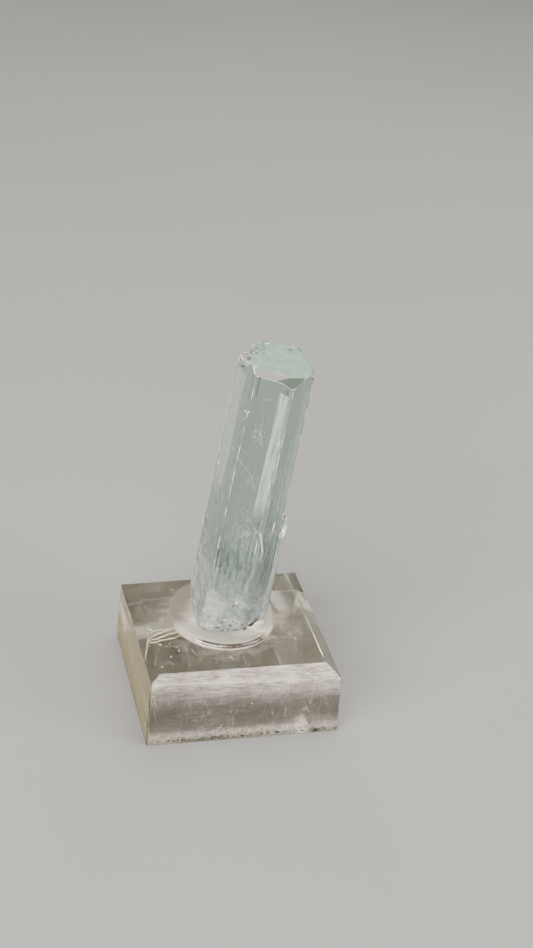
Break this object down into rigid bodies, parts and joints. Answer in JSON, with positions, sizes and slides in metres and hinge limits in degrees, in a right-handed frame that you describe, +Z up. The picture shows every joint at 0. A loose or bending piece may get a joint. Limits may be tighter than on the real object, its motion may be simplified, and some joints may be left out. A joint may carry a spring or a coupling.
{
  "type": "mounted aquamarine crystal",
  "caption": "Leaning six-sided aquamarine prism with a flat bevelled top and a small side growth, held by a collar of clear glue on a bevelled clear acrylic block.",
  "frame": {"origin": "middle of the block's underside, on the surface that it stands on", "axes": "+Z up from the surface; X and Y along the block's sides, with the crystal leaning towards +X and -Y; -Y faces the viewer"},
  "size_m": [0.032, 0.032, 0.0627],
  "materials": {
    "aquamarine": "clear pale blue-green gem with natural faces, milky and full of flaws towards the foot",
    "clear_glue": "dried clear glue, glossy and cloudy, a little yellowed at the rim",
    "clear_acrylic": "polished clear acrylic, yellowed with age, with fine scratches"
  },
  "bodies": {
    "root": {"aquamarine_crystal": "aquamarine", "glue_collar": "clear_glue", "acrylic_block": "clear_acrylic"}
  },
  "joints": []
}
